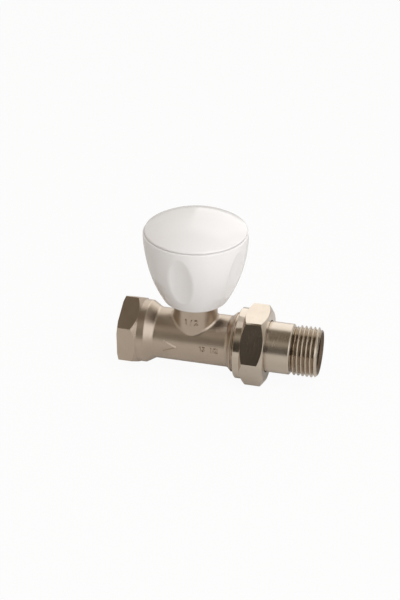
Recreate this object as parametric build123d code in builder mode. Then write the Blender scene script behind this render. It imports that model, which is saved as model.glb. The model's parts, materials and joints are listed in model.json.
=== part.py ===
from build123d import *
import os
from math import cos, hypot, radians, sin, sqrt

# Straight radiator valve with a fluted handwheel, shown shut. Sizes are in millimetres.
# The origin is the centre of the inlet mouth. +X runs along the pipe axis to the radiator
# tail, and +Z along the spindle to the handwheel.

# Pipe threads, made as plain walls
PIPE_THREAD_DIAMETER = 20.955  # over the crests, 1/2 in
UNION_CREST_DIAMETER = 26.44  # over the crests, 3/4 in
UNION_ROOT_DIAMETER = 24.12  # at the roots, 3/4 in

# Clearances
RUNNING_GAP = 0.05  # round pieces that turn or slide in each other
SCREWED_GAP = 0.05  # threads that stay screwed home
FACE_GAP = 0.03  # faces that press on each other until the valve is worked
FREE_GAP = 0.35  # pieces that pass each other without touching

# Body, along the pipe axis
INLET_TO_SPINDLE = 30.6
HEX_ACROSS_FLATS = 27.0
HEX_ACROSS_CORNERS = 31.0
HEX_FACE_DIAMETER = 28.6
HEX_FACE_CHAMFER = 0.5
HEX_EDGE_LENGTH = 6.0
HEX_BACK_CHAMFER = 2.0
COLLAR_DIAMETER = 26.4
COLLAR_LENGTH = 2.9
COLLAR_TAPER = 3.9
COLLAR_ROUND = 1.0
BARREL_DIAMETER = 21.64
BARREL_ROUND = 1.5  # where it widens at both ends
SPINDLE_TO_FLARE = 15.1
FLARE_DIAMETER = 25.9
FLARE_LENGTH = 2.2
FLARE_ROUND = 0.3
SPIGOT_LENGTH = 8.5
SPIGOT_CHAMFER = 0.6
SOCKET_DEPTH = 12.5
SOCKET_CHAMFER = 0.4

# Body, along the spindle
BOSS_DIAMETER = 18.2
BOSS_HEIGHT = 20.1
BOSS_FILLET = 1.5
HEAD_BORE_DIAMETER = 14.9

# Waterway and seat
WATERWAY_DIAMETER = 16.4
SEAT_WEB = 2.0  # thickness of the wall that carries the seat
ORIFICE_DIAMETER = 9.0
SEAT_LAND = 1.5
SEAT_LIP = 0.6

# Union nut and tailpiece
NUT_ACROSS_FLATS = 30.0
NUT_ACROSS_CORNERS = 34.2
NUT_STANDOFF = 1.4
NUT_BAND_DIAMETER = 29.8
NUT_BAND_LENGTH = 2.85
NUT_BAND_CHAMFER = 0.3
NUT_BACK_CHAMFER = 1.55
NUT_LIP = 2.85
NUT_FACE_DIAMETER = 29.2
NUT_FACE_CHAMFER = 1.8
MOUTH_DIAMETER = 19.0
MOUTH_SPARE = 0.4
MOUTH_CHAMFER = 0.5
NOSE_LENGTH = 5.2
TAIL_COLLAR_LENGTH = 2.54
SHANK_DIAMETER = 21.2
SHANK_LENGTH = 13.0
SHANK_CHAMFER = 0.5
RELIEF_DIAMETER = 18.5
RELIEF_LENGTH = 0.5
TAIL_THREAD_LENGTH = 11.0
TAIL_END_DIAMETER = 18.6
TAIL_BORE_DIAMETER = 13.8
TAIL_MOUTH_DIAMETER = 15.4
TAIL_MOUTH_LENGTH = 17.0
TAIL_MOUTH_CHAMFER = 1.2
KEY_LUG_WIDTH = 2.4
KEY_LUG_HEIGHT = 1.6
KEY_LUG_INSET = 2.0
KEY_LUG_LENGTH = 12.0
TAIL_ORING_SECTION = 1.8
TAIL_GROOVE_DEPTH = 1.35
TAIL_GROOVE_INSET = 1.4

# Headwork
LIFT = 3.75  # rise of the disc from shut to fully open
SEAL_DIAMETER = 12.7
SEAL_THICKNESS = 2.2
HOLDER_WALL = 0.5
HOLDER_RIM = 0.9
HOLDER_PLATE = 2.6
HOLDER_HUB_DIAMETER = 8.4
HOLDER_HUB_HEIGHT = 2.8
BUTTON_DIAMETER = 6.0
BUTTON_HEIGHT = 1.2
NECK_DIAMETER = 4.2
SHOULDER_DIAMETER = 7.2
SHOULDER_LENGTH = 2.6
LIFT_THREAD_DIAMETER = 8.0
LIFT_THREAD_LENGTH = 4.5
STEM_DIAMETER = 6.5
STEM_GROOVE_DEPTH = 0.95
STEM_ORING_SECTION = 1.3
DRIVE_SQUARE = 5.4
DRIVE_LENGTH = 8.4
BONNET_FLANGE_DIAMETER = 18.0
BONNET_FLANGE_HEIGHT = 1.5
BONNET_ACROSS_FLATS = 14.0
GASKET_THICKNESS = 0.8
PACKING_DIAMETER = 10.0
PACKING_HEIGHT = 1.4
GLAND_WASHER_THICKNESS = 0.6
GLAND_SHANK_LENGTH = 2.1
GLAND_HEAD_HEIGHT = 1.9
GLAND_ACROSS_FLATS = 11.0

# Screws and their washers
SCREW_DIAMETER = 3.0
SCREW_HEAD_DIAMETER = 5.4
SCREW_HEAD_HEIGHT = 1.6
SCREW_SLOT_WIDTH = 0.8
SCREW_SLOT_DEPTH = 0.8
DISC_SCREW_LENGTH = 4.8
WHEEL_SCREW_LENGTH = 8.0
WASHER_THICKNESS = 0.6
DISC_WASHER_DIAMETER = 7.2
WHEEL_WASHER_DIAMETER = 9.0

# Handwheel and its cap
WHEEL_DIAMETER = 42.8
WHEEL_HEIGHT = 30.7  # from the lower edge to the seam
WHEEL_WAIST = 0.8  # how far the widest part lies under the seam
WHEEL_OVERLAP = 1.0  # how far the lower edge reaches down over the boss
WHEEL_MOUTH_GAP = 1.88  # between the lower edge and the boss
WHEEL_WALL = 1.8
WHEEL_LOWER_ROUND = 1.6
WHEEL_UPPER_ROUND = 0.5
FLUTE_COUNT = 5
FLUTE_RADIUS = 23.0
FLUTE_HEADING = 265.6  # angle of the first flute, from +X
FLUTE_LOW = 5.4  # where a flute starts, above the lower edge
FLUTE_HIGH = 2.65  # where it runs out, under the seam
FLUTE_ROUND = 3.0  # of its edge
HUB_DIAMETER = 12.0
WEB_THICKNESS = 2.0
RIB_THICKNESS = 1.6
RIB_HEIGHT = 5.5
CAP_INSET = 0.6  # step in from the handwheel's side
CAP_SEAT_WIDTH = 2.9  # rim of the handwheel that carries the cap
CAP_SIDE = 0.5
CAP_RISE = 6.15
CAP_WALL = 1.8
CAP_SPIGOT_LENGTH = 3.5
CAP_SPIGOT_WALL = 1.5
SEAM_WIDTH = 0.45
SEAM_DEPTH = 0.55
CAP_EDGE_ROUND = 0.8

# Places along the pipe axis
COLLAR_START = HEX_EDGE_LENGTH + HEX_BACK_CHAMFER
COLLAR_END = COLLAR_START + COLLAR_LENGTH
BARREL_START = COLLAR_END + COLLAR_TAPER
BARREL_END = INLET_TO_SPINDLE + SPINDLE_TO_FLARE
FLARE_END = BARREL_END + FLARE_LENGTH
UNION_FACE = FLARE_END + SPIGOT_LENGTH
MOUTH_START = UNION_FACE - NOSE_LENGTH - MOUTH_SPARE
NUT_START = FLARE_END + NUT_STANDOFF
NOSE_START = UNION_FACE + FACE_GAP - NOSE_LENGTH
TAIL_COLLAR_START = UNION_FACE + FACE_GAP
TAIL_COLLAR_END = TAIL_COLLAR_START + TAIL_COLLAR_LENGTH
NUT_LIP_START = TAIL_COLLAR_END + FACE_GAP
NUT_END = NUT_LIP_START + NUT_LIP
SHANK_END = TAIL_COLLAR_END + SHANK_LENGTH
TAIL_THREAD_START = SHANK_END + RELIEF_LENGTH
TAIL_END = TAIL_THREAD_START + TAIL_THREAD_LENGTH

# Places along the spindle, with the disc on its seat
WEB_UNDERSIDE = -SEAT_WEB / 2
WEB_UPPERSIDE = SEAT_WEB / 2
SEAT_FACE = WEB_UPPERSIDE + SEAT_LIP
SEAL_BOTTOM = SEAT_FACE + FACE_GAP
SEAL_TOP = SEAL_BOTTOM + SEAL_THICKNESS
PLATE_TOP = SEAL_TOP + HOLDER_PLATE
BUTTON_BOTTOM = PLATE_TOP + RUNNING_GAP
BUTTON_TOP = BUTTON_BOTTOM + BUTTON_HEIGHT
HOLDER_TOP = PLATE_TOP + HOLDER_HUB_HEIGHT
SHOULDER_BOTTOM = HOLDER_TOP + FREE_GAP
LIFT_THREAD_BOTTOM = SHOULDER_BOTTOM + SHOULDER_LENGTH
LIFT_THREAD_TOP = LIFT_THREAD_BOTTOM + LIFT_THREAD_LENGTH
BONNET_BOTTOM = HOLDER_TOP + LIFT + FREE_GAP
LIFT_BORE_TOP = LIFT_THREAD_TOP + LIFT + FREE_GAP
STEM_GROOVE_BOTTOM = LIFT_BORE_TOP + FREE_GAP
STEM_GROOVE_TOP = STEM_GROOVE_BOTTOM + STEM_ORING_SECTION
PACKING_BOTTOM = STEM_GROOVE_TOP + LIFT + FREE_GAP
PACKING_TOP = PACKING_BOTTOM + PACKING_HEIGHT
GLAND_BOTTOM = PACKING_TOP + GLAND_WASHER_THICKNESS
BONNET_TOP = GLAND_BOTTOM + GLAND_SHANK_LENGTH - SCREWED_GAP
GLAND_HEAD_BOTTOM = GLAND_BOTTOM + GLAND_SHANK_LENGTH
GLAND_TOP = GLAND_HEAD_BOTTOM + GLAND_HEAD_HEIGHT
BONNET_FLANGE_BOTTOM = BOSS_HEIGHT + GASKET_THICKNESS
BONNET_FLANGE_TOP = BONNET_FLANGE_BOTTOM + BONNET_FLANGE_HEIGHT
DRIVE_BOTTOM = GLAND_TOP + FREE_GAP
DRIVE_TOP = DRIVE_BOTTOM + DRIVE_LENGTH
WEB_TOP = DRIVE_TOP + WASHER_THICKNESS
WEB_BOTTOM = WEB_TOP - WEB_THICKNESS
WHEEL_BOTTOM = BOSS_HEIGHT - WHEEL_OVERLAP
SEAM_HEIGHT = WHEEL_BOTTOM + WHEEL_HEIGHT
CAP_EDGE = SEAM_HEIGHT + SEAM_WIDTH
CAP_SHOULDER = CAP_EDGE + CAP_SIDE
CAP_TOP = CAP_SHOULDER + CAP_RISE

# Radii that two pieces share
SOCKET_RADIUS = PIPE_THREAD_DIAMETER / 2 + SCREWED_GAP
SPIGOT_RADIUS = UNION_ROOT_DIAMETER / 2
NUT_BORE_RADIUS = UNION_CREST_DIAMETER / 2 + RUNNING_GAP
NUT_LIP_RADIUS = SHANK_DIAMETER / 2 + FREE_GAP
TAIL_COLLAR_RADIUS = SPIGOT_RADIUS - FREE_GAP
MOUTH_RADIUS = MOUTH_DIAMETER / 2
NOSE_RADIUS = MOUTH_RADIUS - RUNNING_GAP
TAIL_GROOVE_RADIUS = NOSE_RADIUS - TAIL_GROOVE_DEPTH
HEAD_BORE_RADIUS = HEAD_BORE_DIAMETER / 2
BONNET_THREAD_RADIUS = HEAD_BORE_RADIUS - SCREWED_GAP
ORIFICE_RADIUS = ORIFICE_DIAMETER / 2
STEM_RADIUS = STEM_DIAMETER / 2
STEM_BORE_RADIUS = STEM_RADIUS + RUNNING_GAP
STEM_GROOVE_RADIUS = STEM_RADIUS - STEM_GROOVE_DEPTH
PACKING_RADIUS = PACKING_DIAMETER / 2
GLAND_THREAD_RADIUS = PACKING_RADIUS - SCREWED_GAP
SCREW_RADIUS = SCREW_DIAMETER / 2
TAPPED_RADIUS = SCREW_RADIUS + SCREWED_GAP
CAP_RECESS_RADIUS = WHEEL_DIAMETER / 2 - CAP_SEAT_WIDTH

# Radius of the handwheel's bulge, which clears the boss at the lower edge
wheel_narrowing = WHEEL_DIAMETER / 2 - BOSS_DIAMETER / 2 - WHEEL_MOUTH_GAP
wheel_drop = WHEEL_HEIGHT - WHEEL_WAIST
WHEEL_CURVE = (wheel_narrowing**2 + wheel_drop**2 - WHEEL_WALL**2) / (2 * (wheel_narrowing - WHEEL_WALL))

SPINDLE_AXIS = Axis((INLET_TO_SPINDLE, 0, 0), (0, 0, 1))
SPINDLE_SECTION = Plane(origin=(INLET_TO_SPINDLE, 0, 0), x_dir=(1, 0, 0), z_dir=(0, -1, 0))


def across_pipe(place):
    """Plane square to the pipe axis at a place along it."""
    return Plane.YZ.offset(place)


def across_spindle(height):
    """Plane square to the spindle at a height, centred on it."""
    return Plane((INLET_TO_SPINDLE, 0, height))


def rims_on_pipe(piece, place):
    """Round edges of a piece at a place along the pipe axis."""
    return piece.edges().filter_by(Plane.YZ).filter_by_position(Axis.X, place - FACE_GAP, place + FACE_GAP)


def turn_on_pipe(*outline, mode=Mode.ADD):
    """Turn an outline of (place, radius) points about the pipe axis."""
    with BuildSketch(Plane.XZ) as section:
        with BuildLine():
            Polyline(*outline, close=True)
        make_face()
    revolve(section.sketch, axis=Axis.X, mode=mode)


def turn_on_spindle(*outline, mode=Mode.ADD):
    """Turn an outline of (radius, height) points about the spindle axis."""
    with BuildSketch(SPINDLE_SECTION) as section:
        with BuildLine():
            Polyline(*outline, close=True)
        make_face()
    revolve(section.sketch, axis=SPINDLE_AXIS, mode=mode)


def ring_on_spindle(inner, outer, bottom, top, mode=Mode.ADD):
    """Turn a plain ring about the spindle axis."""
    turn_on_spindle((inner, bottom), (outer, bottom), (outer, top), (inner, top), mode=mode)


def wheel_radius(height, inset=0.0):
    """Radius of the handwheel's side, or of the same curve set in by a wall."""
    drop = height - (SEAM_HEIGHT - WHEEL_WAIST)
    return WHEEL_DIAMETER / 2 - WHEEL_CURVE + sqrt((WHEEL_CURVE - inset) ** 2 - drop**2)


def turn_wheel(bottom, top, inset=0.0):
    """Turn the handwheel's bulged side, closed to the axis between two heights."""
    middle = (bottom + top) / 2
    low = (wheel_radius(bottom, inset), bottom)
    high = (wheel_radius(top, inset), top)
    with BuildSketch(SPINDLE_SECTION) as section:
        with BuildLine():
            Polyline(high, (0, top), (0, bottom), low)
            ThreePointArc(low, (wheel_radius(middle, inset), middle), high)
        make_face()
    revolve(section.sketch, axis=SPINDLE_AXIS)


def cut_flutes(radius):
    """Cut straight cylinders across the bulged side, which run out at both ends."""
    bottom = WHEEL_BOTTOM + FLUTE_LOW
    top = SEAM_HEIGHT - FLUTE_HIGH
    rise = top - bottom
    spread = wheel_radius(top) - wheel_radius(bottom)
    length = hypot(rise, spread)
    centre_radius = (wheel_radius(top) + wheel_radius(bottom)) / 2 + FLUTE_RADIUS * rise / length
    centre_height = (top + bottom) / 2 - FLUTE_RADIUS * spread / length
    for flute in range(FLUTE_COUNT):
        heading = radians(FLUTE_HEADING + flute * 360 / FLUTE_COUNT)
        centre_x = INLET_TO_SPINDLE + centre_radius * cos(heading)
        centre = (centre_x, centre_radius * sin(heading), centre_height)
        along = (spread * cos(heading), spread * sin(heading), rise)
        with BuildSketch(Plane(origin=centre, z_dir=along)) as section:
            Circle(radius)
        extrude(section.sketch, amount=length, both=True, mode=Mode.SUBTRACT)


def slot_screw(head_face, head_side, length):
    """Slotted screw on the spindle axis. head_side is +1 for a head on top, -1 for one below."""
    head_end = head_face + head_side * SCREW_HEAD_HEIGHT
    slot_floor = head_end - head_side * SCREW_SLOT_DEPTH
    ring_on_spindle(0, SCREW_RADIUS, *sorted((head_face, head_face - head_side * length)))
    ring_on_spindle(0, SCREW_HEAD_DIAMETER / 2, *sorted((head_face, head_end)))
    with BuildSketch(across_spindle(slot_floor)) as slot:
        Rectangle(SCREW_HEAD_DIAMETER + SCREW_SLOT_WIDTH, SCREW_SLOT_WIDTH)
    extrude(slot.sketch, amount=head_side * SCREW_SLOT_DEPTH, mode=Mode.SUBTRACT)


def drive_square(side, corner_radius):
    """Square section of the spindle's drive end, with the corners left round."""
    Rectangle(side, side)
    Circle(corner_radius, mode=Mode.INTERSECT)


# Valve body: hexagon, collar, barrel, flare, union spigot and boss in one forging
with BuildPart() as valve_body:
    with BuildSketch(across_pipe(0)):
        RegularPolygon(HEX_ACROSS_FLATS / 2, 6, major_radius=False, rotation=90)
    extrude(amount=COLLAR_START)
    turn_on_pipe(
        (0, 0),
        (0, HEX_FACE_DIAMETER / 2),
        (HEX_FACE_CHAMFER, HEX_ACROSS_CORNERS / 2),
        (HEX_EDGE_LENGTH, HEX_ACROSS_CORNERS / 2),
        (COLLAR_START, COLLAR_DIAMETER / 2),
        (COLLAR_START, 0),
        mode=Mode.INTERSECT,
    )
    turn_on_pipe(
        (HEX_EDGE_LENGTH, 0),
        (HEX_EDGE_LENGTH, COLLAR_DIAMETER / 2),
        (COLLAR_END, COLLAR_DIAMETER / 2),
        (BARREL_START, BARREL_DIAMETER / 2),
        (BARREL_END, BARREL_DIAMETER / 2),
        (FLARE_END, FLARE_DIAMETER / 2),
        (FLARE_END, SPIGOT_RADIUS),
        (UNION_FACE - SPIGOT_CHAMFER, SPIGOT_RADIUS),
        (UNION_FACE, SPIGOT_RADIUS - SPIGOT_CHAMFER),
        (UNION_FACE, 0),
    )
    fillet(rims_on_pipe(valve_body, COLLAR_END), COLLAR_ROUND)
    fillet(rims_on_pipe(valve_body, BARREL_START) + rims_on_pipe(valve_body, BARREL_END), BARREL_ROUND)
    fillet(rims_on_pipe(valve_body, FLARE_END).sort_by(SortBy.RADIUS)[-1], FLARE_ROUND)
    with BuildSketch(across_spindle(0)):
        Circle(BOSS_DIAMETER / 2)
    extrude(amount=BOSS_HEIGHT)
    boss_foot = valve_body.edges().filter_by(GeomType.CIRCLE, reverse=True)
    boss_foot = boss_foot.filter_by(GeomType.LINE, reverse=True)
    boss_foot = boss_foot.filter_by_position(Axis.Z, WEB_UPPERSIDE, BARREL_DIAMETER)
    boss_foot = boss_foot.filter_by_position(Axis.X, BARREL_START, BARREL_END)
    fillet(boss_foot, BOSS_FILLET)

    # inlet socket, then the run that dives under the seat
    inlet_run_end = INLET_TO_SPINDLE - HEAD_BORE_RADIUS - SEAT_WEB
    under_seat_end = INLET_TO_SPINDLE + ORIFICE_RADIUS + SEAT_WEB
    outlet_run_start = under_seat_end + SEAT_WEB
    turn_on_pipe(
        (0, 0),
        (0, SOCKET_RADIUS + SOCKET_CHAMFER),
        (SOCKET_CHAMFER, SOCKET_RADIUS),
        (SOCKET_DEPTH, SOCKET_RADIUS),
        (SOCKET_DEPTH, WATERWAY_DIAMETER / 2),
        (inlet_run_end, WATERWAY_DIAMETER / 2),
        (inlet_run_end, 0),
        mode=Mode.SUBTRACT,
    )
    with BuildSketch(across_pipe(inlet_run_end)):
        Circle(WATERWAY_DIAMETER / 2)
        with Locations((0, WEB_UNDERSIDE)):
            Rectangle(BARREL_DIAMETER, BARREL_DIAMETER, align=(Align.CENTER, Align.MIN), mode=Mode.SUBTRACT)
    extrude(amount=under_seat_end - inlet_run_end, mode=Mode.SUBTRACT)

    # head bore over the seat, then the run to the union
    ring_on_spindle(0, HEAD_BORE_RADIUS, WEB_UPPERSIDE, BOSS_HEIGHT, mode=Mode.SUBTRACT)
    with BuildSketch(across_pipe(INLET_TO_SPINDLE)):
        Circle(WATERWAY_DIAMETER / 2)
        with Locations((0, WEB_UPPERSIDE)):
            Rectangle(BARREL_DIAMETER, BARREL_DIAMETER, align=(Align.CENTER, Align.MAX), mode=Mode.SUBTRACT)
    extrude(amount=outlet_run_start - INLET_TO_SPINDLE, mode=Mode.SUBTRACT)
    turn_on_pipe(
        (outlet_run_start, 0),
        (outlet_run_start, WATERWAY_DIAMETER / 2),
        (MOUTH_START, WATERWAY_DIAMETER / 2),
        (MOUTH_START, MOUTH_RADIUS),
        (UNION_FACE - MOUTH_CHAMFER, MOUTH_RADIUS),
        (UNION_FACE, MOUTH_RADIUS + MOUTH_CHAMFER),
        (UNION_FACE, 0),
        mode=Mode.SUBTRACT,
    )

    # raised seat round the orifice
    ring_on_spindle(0, ORIFICE_RADIUS, WEB_UNDERSIDE, WEB_UPPERSIDE, mode=Mode.SUBTRACT)
    ring_on_spindle(ORIFICE_RADIUS, ORIFICE_RADIUS + SEAT_LAND, WEB_UPPERSIDE, SEAT_FACE)

# Union nut: round band, hexagon chamfered at both ends, and the lip that pulls on the tail
with BuildPart() as union_nut:
    with BuildSketch(across_pipe(NUT_START)):
        RegularPolygon(NUT_ACROSS_FLATS / 2, 6, major_radius=False)
    extrude(amount=NUT_END - NUT_START)
    turn_on_pipe(
        (NUT_START, 0),
        (NUT_START, NUT_BAND_DIAMETER / 2 - NUT_BAND_CHAMFER),
        (NUT_START + NUT_BAND_CHAMFER, NUT_BAND_DIAMETER / 2),
        (NUT_START + NUT_BAND_LENGTH, NUT_BAND_DIAMETER / 2),
        (NUT_START + NUT_BAND_LENGTH + NUT_BACK_CHAMFER, NUT_ACROSS_CORNERS / 2),
        (NUT_END - NUT_FACE_CHAMFER, NUT_ACROSS_CORNERS / 2),
        (NUT_END, NUT_FACE_DIAMETER / 2),
        (NUT_END, 0),
        mode=Mode.INTERSECT,
    )
    turn_on_pipe(
        (NUT_START, 0),
        (NUT_START, NUT_BORE_RADIUS),
        (NUT_LIP_START, NUT_BORE_RADIUS),
        (NUT_LIP_START, NUT_LIP_RADIUS),
        (NUT_END, NUT_LIP_RADIUS),
        (NUT_END, 0),
        mode=Mode.SUBTRACT,
    )

# Tailpiece: grooved nose, collar under the nut, shank, relief and pipe thread, bored through
tail_end_chamfer = (PIPE_THREAD_DIAMETER - TAIL_END_DIAMETER) / 2
tail_groove_start = NOSE_START + TAIL_GROOVE_INSET
tail_groove_end = tail_groove_start + TAIL_ORING_SECTION + 2 * RUNNING_GAP
with BuildPart() as tailpiece:
    turn_on_pipe(
        (NOSE_START, TAIL_BORE_DIAMETER / 2),
        (NOSE_START, NOSE_RADIUS),
        (tail_groove_start, NOSE_RADIUS),
        (tail_groove_start, TAIL_GROOVE_RADIUS),
        (tail_groove_end, TAIL_GROOVE_RADIUS),
        (tail_groove_end, NOSE_RADIUS),
        (TAIL_COLLAR_START, NOSE_RADIUS),
        (TAIL_COLLAR_START, TAIL_COLLAR_RADIUS),
        (TAIL_COLLAR_END, TAIL_COLLAR_RADIUS),
        (TAIL_COLLAR_END, SHANK_DIAMETER / 2),
        (SHANK_END - SHANK_CHAMFER, SHANK_DIAMETER / 2),
        (SHANK_END, SHANK_DIAMETER / 2 - SHANK_CHAMFER),
        (SHANK_END, RELIEF_DIAMETER / 2),
        (TAIL_THREAD_START, RELIEF_DIAMETER / 2),
        (TAIL_THREAD_START, PIPE_THREAD_DIAMETER / 2),
        (TAIL_END - tail_end_chamfer, PIPE_THREAD_DIAMETER / 2),
        (TAIL_END, TAIL_END_DIAMETER / 2),
        (TAIL_END, TAIL_MOUTH_DIAMETER / 2 + TAIL_MOUTH_CHAMFER),
        (TAIL_END - TAIL_MOUTH_CHAMFER, TAIL_MOUTH_DIAMETER / 2),
        (TAIL_END - TAIL_MOUTH_LENGTH, TAIL_MOUTH_DIAMETER / 2),
        (TAIL_END - TAIL_MOUTH_LENGTH, TAIL_BORE_DIAMETER / 2),
    )
    lug_middle = (TAIL_MOUTH_DIAMETER - KEY_LUG_HEIGHT + RUNNING_GAP) / 2
    with BuildSketch(across_pipe(TAIL_END - KEY_LUG_INSET)):
        with Locations((lug_middle, 0), (-lug_middle, 0)):
            Rectangle(KEY_LUG_HEIGHT + RUNNING_GAP, KEY_LUG_WIDTH)
    extrude(amount=-KEY_LUG_LENGTH)

# Ring in the nose's groove, squeezed between the groove and the mouth
with BuildPart() as tail_oring:
    ring_outside = MOUTH_RADIUS - RUNNING_GAP / 2
    ring_inside = TAIL_GROOVE_RADIUS + RUNNING_GAP / 2
    with BuildSketch(Plane.XZ):
        with Locations(((tail_groove_start + tail_groove_end) / 2, (ring_outside + ring_inside) / 2)):
            Ellipse(TAIL_ORING_SECTION / 2, (ring_outside - ring_inside) / 2)
    revolve(axis=Axis.X)

# Bonnet: threaded skirt in the boss, flange, hexagon, lifting bore, stem bore and packing box
with BuildPart() as bonnet:
    with BuildSketch(across_spindle(BONNET_FLANGE_TOP)):
        RegularPolygon(BONNET_ACROSS_FLATS / 2, 6, major_radius=False)
    extrude(amount=BONNET_TOP - BONNET_FLANGE_TOP)
    chamfer(bonnet.faces().sort_by(Axis.Z)[-1].edges(), length=FREE_GAP)
    ring_on_spindle(0, BONNET_FLANGE_DIAMETER / 2, BONNET_FLANGE_BOTTOM, BONNET_FLANGE_TOP)
    ring_on_spindle(0, BONNET_THREAD_RADIUS, BONNET_BOTTOM, BONNET_FLANGE_BOTTOM)
    turn_on_spindle(
        (0, BONNET_BOTTOM),
        (LIFT_THREAD_DIAMETER / 2 + RUNNING_GAP, BONNET_BOTTOM),
        (LIFT_THREAD_DIAMETER / 2 + RUNNING_GAP, LIFT_BORE_TOP),
        (STEM_BORE_RADIUS, LIFT_BORE_TOP),
        (STEM_BORE_RADIUS, PACKING_BOTTOM),
        (PACKING_RADIUS, PACKING_BOTTOM),
        (PACKING_RADIUS, BONNET_TOP),
        (0, BONNET_TOP),
        mode=Mode.SUBTRACT,
    )

# Flat ring between the boss and the bonnet's flange
with BuildPart() as bonnet_gasket:
    ring_on_spindle(HEAD_BORE_RADIUS, BONNET_FLANGE_DIAMETER / 2, BOSS_HEIGHT, BONNET_FLANGE_BOTTOM)

# Packing, washer and nut of the gland
with BuildPart() as gland_packing:
    ring_on_spindle(STEM_BORE_RADIUS, GLAND_THREAD_RADIUS, PACKING_BOTTOM, PACKING_TOP)

with BuildPart() as gland_washer:
    ring_on_spindle(STEM_BORE_RADIUS, GLAND_THREAD_RADIUS, PACKING_TOP, GLAND_BOTTOM)

with BuildPart() as gland_nut:
    with BuildSketch(across_spindle(GLAND_HEAD_BOTTOM)):
        RegularPolygon(GLAND_ACROSS_FLATS / 2, 6, major_radius=False)
    extrude(amount=GLAND_HEAD_HEIGHT)
    chamfer(gland_nut.faces().sort_by(Axis.Z)[-1].edges(), length=FREE_GAP)
    ring_on_spindle(0, GLAND_THREAD_RADIUS, GLAND_BOTTOM, GLAND_HEAD_BOTTOM)
    ring_on_spindle(0, STEM_BORE_RADIUS, GLAND_BOTTOM, GLAND_TOP, mode=Mode.SUBTRACT)

# Spindle: swivel button, neck, shoulder, lifting thread, grooved stem and square drive end
with BuildPart() as spindle:
    turn_on_spindle(
        (0, BUTTON_BOTTOM),
        (BUTTON_DIAMETER / 2, BUTTON_BOTTOM),
        (BUTTON_DIAMETER / 2, BUTTON_TOP),
        (NECK_DIAMETER / 2, BUTTON_TOP),
        (NECK_DIAMETER / 2, SHOULDER_BOTTOM),
        (SHOULDER_DIAMETER / 2, SHOULDER_BOTTOM),
        (SHOULDER_DIAMETER / 2, LIFT_THREAD_BOTTOM),
        (LIFT_THREAD_DIAMETER / 2, LIFT_THREAD_BOTTOM),
        (LIFT_THREAD_DIAMETER / 2, LIFT_THREAD_TOP),
        (STEM_RADIUS, LIFT_THREAD_TOP),
        (STEM_RADIUS, STEM_GROOVE_BOTTOM),
        (STEM_GROOVE_RADIUS, STEM_GROOVE_BOTTOM),
        (STEM_GROOVE_RADIUS, STEM_GROOVE_TOP),
        (STEM_RADIUS, STEM_GROOVE_TOP),
        (STEM_RADIUS, DRIVE_BOTTOM),
        (0, DRIVE_BOTTOM),
    )
    with BuildSketch(across_spindle(DRIVE_BOTTOM)) as drive_section:
        drive_square(DRIVE_SQUARE, STEM_RADIUS)
    extrude(drive_section.sketch, amount=DRIVE_LENGTH)
    screw_hole_floor = WEB_TOP + WASHER_THICKNESS - WHEEL_SCREW_LENGTH - FREE_GAP
    ring_on_spindle(0, TAPPED_RADIUS, screw_hole_floor, DRIVE_TOP, mode=Mode.SUBTRACT)

# Ring in the stem's groove
with BuildPart() as spindle_oring:
    stem_ring_outside = STEM_BORE_RADIUS - RUNNING_GAP / 2
    stem_ring_inside = STEM_GROOVE_RADIUS + RUNNING_GAP / 2
    stem_ring_middle = (stem_ring_outside + stem_ring_inside) / 2
    with BuildSketch(SPINDLE_SECTION):
        with Locations((stem_ring_middle, (STEM_GROOVE_BOTTOM + STEM_GROOVE_TOP) / 2)):
            Ellipse((stem_ring_outside - stem_ring_inside) / 2, STEM_ORING_SECTION / 2 - RUNNING_GAP)
    revolve(axis=SPINDLE_AXIS)

# Disc holder: cup for the seal, with a hub closed in over the spindle's button
holder_radius = SEAL_DIAMETER / 2 + SCREWED_GAP + HOLDER_WALL
disc_screw_top = SEAL_BOTTOM - WASHER_THICKNESS + DISC_SCREW_LENGTH
with BuildPart() as disc_holder:
    turn_on_spindle(
        (0, SEAL_TOP),
        (SEAL_DIAMETER / 2 + SCREWED_GAP, SEAL_TOP),
        (SEAL_DIAMETER / 2 + SCREWED_GAP, SEAL_TOP - HOLDER_RIM),
        (holder_radius, SEAL_TOP - HOLDER_RIM),
        (holder_radius, PLATE_TOP),
        (HOLDER_HUB_DIAMETER / 2, PLATE_TOP),
        (HOLDER_HUB_DIAMETER / 2, HOLDER_TOP),
        (NECK_DIAMETER / 2 + RUNNING_GAP, HOLDER_TOP),
        (NECK_DIAMETER / 2 + RUNNING_GAP, BUTTON_TOP + RUNNING_GAP),
        (BUTTON_DIAMETER / 2 + RUNNING_GAP, BUTTON_TOP + RUNNING_GAP),
        (BUTTON_DIAMETER / 2 + RUNNING_GAP, PLATE_TOP),
        (0, PLATE_TOP),
    )
    ring_on_spindle(0, TAPPED_RADIUS, SEAL_TOP, disc_screw_top + SCREWED_GAP, mode=Mode.SUBTRACT)

# Seal, washer and screw under the holder
with BuildPart() as disc_seal:
    ring_on_spindle(TAPPED_RADIUS, SEAL_DIAMETER / 2, SEAL_BOTTOM, SEAL_TOP)

with BuildPart() as disc_washer:
    ring_on_spindle(TAPPED_RADIUS, DISC_WASHER_DIAMETER / 2, SEAL_BOTTOM - WASHER_THICKNESS, SEAL_BOTTOM)

with BuildPart() as disc_screw:
    slot_screw(SEAL_BOTTOM - WASHER_THICKNESS, -1, DISC_SCREW_LENGTH)

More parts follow.
